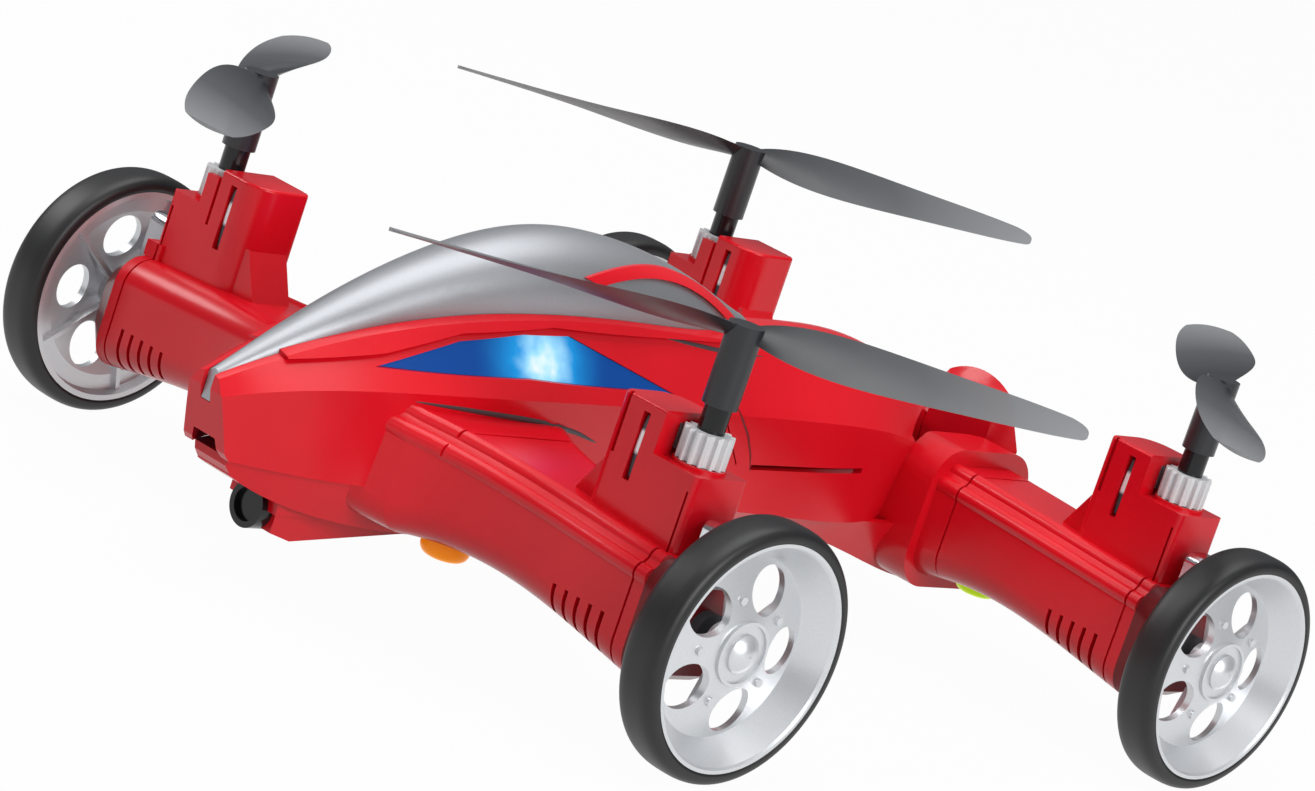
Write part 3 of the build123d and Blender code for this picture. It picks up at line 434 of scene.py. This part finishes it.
def lathe(name, profile, place, steps, material):
    """A mesh turned about a line along Y: each (radius, along) point goes round at equal angles."""
    turn = np.linspace(0.0, 2 * np.pi, steps, endpoint=False)
    radius, along = np.array(profile).T[:, :, None]
    across, along = radius * np.cos(turn), along + 0 * turn
    points = np.stack([across, along, radius * np.sin(turn)], axis=-1).reshape(-1, 3) + place
    return new_piece(name, points, ring_faces(len(profile), steps, closed=True).tolist(), material)


rubber = moulded_rubber("tyre_rubber")
for corner in CORNERS:
    low, high = (Vector(end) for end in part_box(f"tyre_{corner}"))
    rim_low, rim_high = (Vector(end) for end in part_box(f"wheel_rim_{corner}"))
    outer, seat = (high.z - low.z) / 2, (rim_high.z - rim_low.z) / 2
    half_width = (high.y - low.y) / 2
    angle = np.linspace(0.0, np.pi, SECTION_POINTS)
    along = half_width * np.sign(np.cos(angle)) * np.abs(np.cos(angle)) ** (2 / TYRE_SECTION)
    radius = seat + (outer - seat) * np.sin(angle) ** (2 / TYRE_SECTION)
    tread = lathe(
        f"tyre_band_{corner}",
        np.stack([radius, along], axis=-1),
        np.array((low + high) / 2),
        TYRE_STEPS,
        rubber,
    )
    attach(tread, f"wheel_{corner}")
    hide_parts(f"tyre_{corner}")

# Gears and shaft sleeves: the large gears are moulded in white acetal and pressed on the rotor
# shafts, inside sleeves of black ABS. Acetal is milky and a little waxy.
white_acetal = polished_abs("white_acetal", "#D2D3D5", "#E2E3E4", 0.3, 0.8)
dress(white_acetal, *(f"rotor_gear_{corner}" for corner in CORNERS))
dress(black_abs, *(f"rotor_shaft_{corner}" for corner in CORNERS))

# Rotors: two blades moulded in one with a tubular hub, from a smoke-tinted clear plastic, and
# pressed on the shaft. Dark where it is thick, at the hub, it lets light through towards the thin
# tips. Flow marks some 8 mm across vary the gloss.
BLADE_MOTTLE_MM = 8.33
BLADE_TONES = [(0.1, "#232427"), (0.5, "#4A4C4F"), (1.0, "#929395")]
BLADE_CLEARNESS = [(0.1, "#000000"), (0.45, "#404040"), (1.0, "#A0A0A0")]
BLADE_TINT = "#C9CACC"


def smoked_plastic(name, hub, reach):
    """Tinted clear plastic: tone and see-through share grow with distance from the rotor's axis."""
    material, tree, surface, place = new_finish(name)
    flat = add_node(tree, "VectorMath", {0: place, 1: (1.0, 1.0, 0.0)}, operation="MULTIPLY")
    offset = add_node(tree, "VectorMath", {0: flat.outputs[0], 1: hub}, operation="SUBTRACT")
    far = add_node(tree, "VectorMath", {0: offset.outputs[0]}, operation="LENGTH")
    share = add_node(tree, "MapRange", {"Value": far.outputs["Value"], "From Max": reach})
    mottle = add_node(
        tree, "TexNoise", {"Vector": place, "Scale": 1.0 / (BLADE_MOTTLE_MM * MM), "Detail": 2.0}
    )
    tone = add_node(
        tree, "Math", {0: share.outputs["Result"], 1: mottle.outputs["Fac"]}, operation="ADD"
    )
    colour = add_node(tree, "ValToRGB", {"Fac": share.outputs["Result"]}, stops=BLADE_TONES)
    scuff = add_node(
        tree, "MapRange", {"Value": tone.outputs[0], "To Min": 0.22, "To Max": 0.4}
    )
    solid = add_node(
        tree,
        "BsdfPrincipled",
        {
            "Base Color": colour.outputs["Color"],
            "Roughness": scuff.outputs["Result"],
            "IOR": 1.49,
        },
    )
    clear = add_node(tree, "ValToRGB", {"Fac": share.outputs["Result"]}, stops=BLADE_CLEARNESS)
    through = add_node(tree, "BsdfTransparent", {"Color": linear(BLADE_TINT)})
    mixed = add_node(
        tree,
        "MixShader",
        {0: clear.outputs["Color"], 1: solid.outputs[0], 2: through.outputs[0]},
    )
    tree.links.new(mixed.outputs[0], surface)
    return material


for corner in CORNERS:
    low, high = (Vector(end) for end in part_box(f"rotor_shaft_{corner}"))
    middle = (low + high) / 2
    blade_low, blade_high = (Vector(end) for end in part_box(f"rotor_{corner}"))
    reach = (blade_high - blade_low).xy.length / 2
    finish = smoked_plastic(f"smoked_blade_{corner}", (middle.x, middle.y, 0.0), reach)
    dress(finish, f"rotor_{corner}")

# Trims in the shell's sides: a dark grey strip over each front arm's root and one under the canopy's
# rear, which are painted shade for the slits there, and a seam in dark red ABS behind the first, all
# laid along the shell. Each is thick in the middle and drawn out to a point at its ends.
# Dark grey: painted shade for the insides of the slits.
slit_painted_shade = polished_abs("slit_painted_shade", "#3E3B3E", "#4C484B", 0.35)
# Columns: name, finish, half width in mm, guide line seen from the side as (x, z) in mm.
TRIMS = [
    (
        "root_slit",
        slit_painted_shade,
        0.60,
        [(93.2, 41.7), (81.7, 41.5), (66.9, 40.95), (58.0, 40.3), (50.2, 39.0), (43.8, 37.3)],
    ),
    (
        "fender_seam",
        dark_abs,
        0.25,
        [(4.5, 47.6), (1.9, 44.6), (-2.5, 40.5), (-5.6, 36.3), (-7.3, 32.6)],
    ),
    (
        "rear_slit",
        slit_painted_shade,
        0.45,
        [(28.6, 57.7), (20.0, 56.8), (11.8, 56.0), (3.6, 55.4), (-5.1, 55.3)],
    ),
]
TRIM_HALF_HEIGHT = 0.22 * MM
GUIDE_POINTS, SECTION_STEPS = 28, 12
# The ends stop this far, in radians of the half turn that thins them, short of a closed point.
END_GAP = 0.03
THINNING_POWER = 0.6
CAST_FROM = 60.0 * MM


def laid_on(node, starts, direction):
    """Where rays from the starts first meet a CAD piece, and its normals there, as two arrays."""
    casts = [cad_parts[node].ray_cast(start, direction) for start in starts]
    places = np.array([spot for hit, spot, _, _ in casts if hit])
    normals = np.array([normal for hit, _, normal, _ in casts if hit])
    return places, normals


def pressed_strip(name, centres, normals, half_width, half_height, material):
    """An oval strip along a line: each section is centre + across * cos + normal * sin.

    The section is scaled by the sine of a half turn along the line, so the ends are thin.
    """
    along = np.gradient(centres, axis=0)
    across = np.cross(normals, along)
    across /= np.linalg.norm(across, axis=1, keepdims=True)
    half_turn = np.linspace(END_GAP, np.pi - END_GAP, len(centres))
    slim = np.sin(half_turn)[:, None, None] ** THINNING_POWER
    turn = np.linspace(0.0, 2 * np.pi, SECTION_STEPS, endpoint=False)[None, :, None]
    wide = across[:, None] * np.cos(turn) * half_width
    tall = normals[:, None] * np.sin(turn) * half_height
    points = (centres[:, None] + slim * (wide + tall)).reshape(-1, 3)
    first_ring = list(range(SECTION_STEPS))
    last_ring = list(range(len(points) - SECTION_STEPS, len(points)))
    faces = ring_faces(len(centres), SECTION_STEPS).tolist() + [first_ring[::-1], last_ring]
    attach(new_piece(name, points, faces, material), "chassis")


for trim, finish, half_width, guide in TRIMS:
    guide_x, guide_z = np.array(guide).T * MM
    share = np.linspace(0.0, 1.0, GUIDE_POINTS)
    line_x = np.interp(share, np.linspace(0.0, 1.0, len(guide)), guide_x)
    line_z = np.interp(share, np.linspace(0.0, 1.0, len(guide)), guide_z)
    for side, sign in SIDES:
        starts = [Vector((x, sign * CAST_FROM, z)) for x, z in zip(line_x, line_z)]
        centres, normals = laid_on("body_shell", starts, Vector((0, -sign, 0)))
        pressed_strip(
            f"{trim}_{side}", centres, normals, half_width * MM, TRIM_HALF_HEIGHT, finish
        )

# Slot strips: in each tower slot a thin strip stands where the motor can shows through. Its colour
# is painted light: painted shade, nearly black, at its top and bottom, and a painted highlight,
# nearly white, between. Brush marks of 0.05 mm are drawn at 0.556 mm, because finer ones do not
# show.
CLIP_X, CLIP_Y, CLIP_REACH = 73.4 * MM, 58.6 * MM, 6.3 * MM
CLIP_BOTTOM, CLIP_TOP = 45.0 * MM, 57.1 * MM
CLIP_HALF_WIDTH, CLIP_HALF_THICKNESS = 0.7 * MM, 0.3 * MM
# Up the strip: painted shade, then a painted highlight, then painted shade again.
CLIP_PAINTED_LIGHT_BANDS = [(0.36, "#34353A"), (0.42, "#ECEEF0"), (0.72, "#F4F5F6"), (0.78, "#4A4B50")]
BRUSH_MM = 0.556

clip_painted_light, tree, surface, place = new_finish("clip_painted_highlight_and_shade")
height = add_node(tree, "SeparateXYZ", {0: place}).outputs["Z"]
level = add_node(
    tree, "MapRange", {"Value": height, "From Min": CLIP_BOTTOM, "From Max": CLIP_TOP}
)
brushed = add_node(tree, "TexNoise", {"Vector": place, "Scale": 1.0 / (BRUSH_MM * MM)})
# The strip's colour is painted shade and a painted highlight, set by height in the slot.
colour = add_node(tree, "ValToRGB", {"Fac": level.outputs["Result"]}, stops=CLIP_PAINTED_LIGHT_BANDS)
scuff = add_node(
    tree, "MapRange", {"Value": brushed.outputs["Fac"], "To Min": 0.3, "To Max": 0.45}
)
shader = add_node(
    tree,
    "BsdfPrincipled",
    {
        "Base Color": colour.outputs["Color"],
        "Metallic": 0.3,
        "Roughness": scuff.outputs["Result"],
    },
)
tree.links.new(shader.outputs[0], surface)
for corner in CORNERS:
    clip_x = CLIP_X if "front" in corner else -CLIP_X
    clip_y = CLIP_Y if "left" in corner else -CLIP_Y
    for face, sign in (("ahead", 1), ("behind", -1)):
        centres = np.tile((clip_x + sign * CLIP_REACH, clip_y, 0.0), (GUIDE_POINTS, 1))
        centres[:, 2] = np.linspace(CLIP_BOTTOM, CLIP_TOP, GUIDE_POINTS)
        normals = np.tile((float(sign), 0.0, 0.0), (GUIDE_POINTS, 1))
        pressed_strip(
            f"motor_clip_{face}_{corner}",
            centres,
            normals,
            CLIP_HALF_WIDTH,
            CLIP_HALF_THICKNESS,
            clip_painted_light,
        )

# Screws: small steel pan heads with a cross recess, zinc-plated to a dull silver, driven up into
# the arms, the underbody and the battery hatch. Each head sits where a ray from below meets its
# piece.
HEAD_RADIUS, HEAD_HEIGHT = 1.6 * MM, 0.7 * MM
RECESS_REACH, RECESS_HALF, RECESS_DEPTH = 1.0 * MM, 0.22 * MM, 0.4 * MM
# The recess's walls slope, and reach the dome at this many half widths from its middle.
RECESS_MOUTH = 2.0
# The dome drops by the root of this share of its height at the rim.
DOME_SHARE = 0.97
INNER_RING = 0.02
RINGS, SPOKES = 14, 48


def pan_head(name, seat, normal, material):
    """A screw head: height = dome over radius, less a cross where |u| or |v| is small."""
    spokes = np.linspace(0.0, 2 * np.pi, SPOKES, endpoint=False)
    share, angle = np.meshgrid(np.linspace(INNER_RING, 1.0, RINGS), spokes, indexing="ij")
    u, v = share * HEAD_RADIUS * np.cos(angle), share * HEAD_RADIUS * np.sin(angle)
    rise = HEAD_HEIGHT * np.sqrt(1.0 - DOME_SHARE * share**2)
    arm = np.clip(RECESS_MOUTH - np.minimum(np.abs(u), np.abs(v)) / RECESS_HALF, 0.0, 1.0)
    inside = np.clip((RECESS_REACH - share * HEAD_RADIUS) / RECESS_HALF, 0.0, 1.0)
    rise -= RECESS_DEPTH * arm * inside
    rise[-1] = -HEAD_HEIGHT
    points = np.stack([u, v, rise], axis=-1).reshape(-1, 3)
    turn = Vector((0, 0, 1)).rotation_difference(Vector(normal)).to_matrix()
    points = points @ np.array(turn).T + seat
    inner_ring = list(range(SPOKES))
    rim = list(range(len(points) - SPOKES, len(points)))
    # The rings run outwards, so each quad is turned over to face up.
    quads = ring_faces(RINGS, SPOKES)[:, [0, 3, 2, 1]].tolist()
    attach(new_piece(name, points, quads + [inner_ring, rim[::-1]], material), "chassis")


# Columns: name, piece, x and y in mm.
SCREWS = [
    ("front_left_root", "arm_front_left", 73.4, 34.0),
    ("front_left_end", "arm_front_left", 73.4, 74.0),
    ("front_right_root", "arm_front_right", 73.4, -34.0),
    ("front_right_end", "arm_front_right", 73.4, -74.0),
    ("rear_left_root", "arm_rear_left", -73.4, 34.0),
    ("rear_left_end", "arm_rear_left", -73.4, 74.0),
    ("rear_right_root", "arm_rear_right", -73.4, -34.0),
    ("rear_right_end", "arm_rear_right", -73.4, -74.0),
    ("floor_front_left", "body_floor", 60.0, 12.5),
    ("floor_front_right", "body_floor", 60.0, -12.5),
    ("floor_rear_left", "body_floor", -40.0, 9.0),
    ("floor_rear_right", "body_floor", -40.0, -9.0),
    ("hatch", "battery_hatch", 47.0, 0.0),
]
zinc = bright_metal("zinc_plate", "#A9ACB0", "#C4C7CA", 0.3, 0.9)
for name, piece, x, y in SCREWS:
    below = Vector((x * MM, y * MM, 0.0))
    for seat, normal in zip(*laid_on(piece, [below], Vector((0, 0, 1)))):
        pan_head(f"screw_{name}", seat, normal, zinc)

# Lamps under the arms: clear domes moulded in tinted polycarbonate over an LED, pushed up into the
# arms' ends. They are lit amber at the front and yellow-green at the rear, brightest at the tip.
LAMP_REACH = 6.8 * MM
LAMP_GLOW = 1.15
AMBER_TONES = ("#8A3A02", "#E8780A", "#FFA81C", "#FFD860")
GREEN_TONES = ("#5E7400", "#A8CC04", "#CCE820", "#F0FA80")
for corner in CORNERS:
    low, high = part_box(f"lamp_{corner}")
    tip = ((low[0] + high[0]) / 2, (low[1] + high[1]) / 2, low[2])
    tones = AMBER_TONES if "front" in corner else GREEN_TONES
    glow_lens = lit_lens(f"lamp_glow_{corner}", *tones, tip, LAMP_REACH, LAMP_GLOW)
    dress(glow_lens, f"lamp_{corner}")
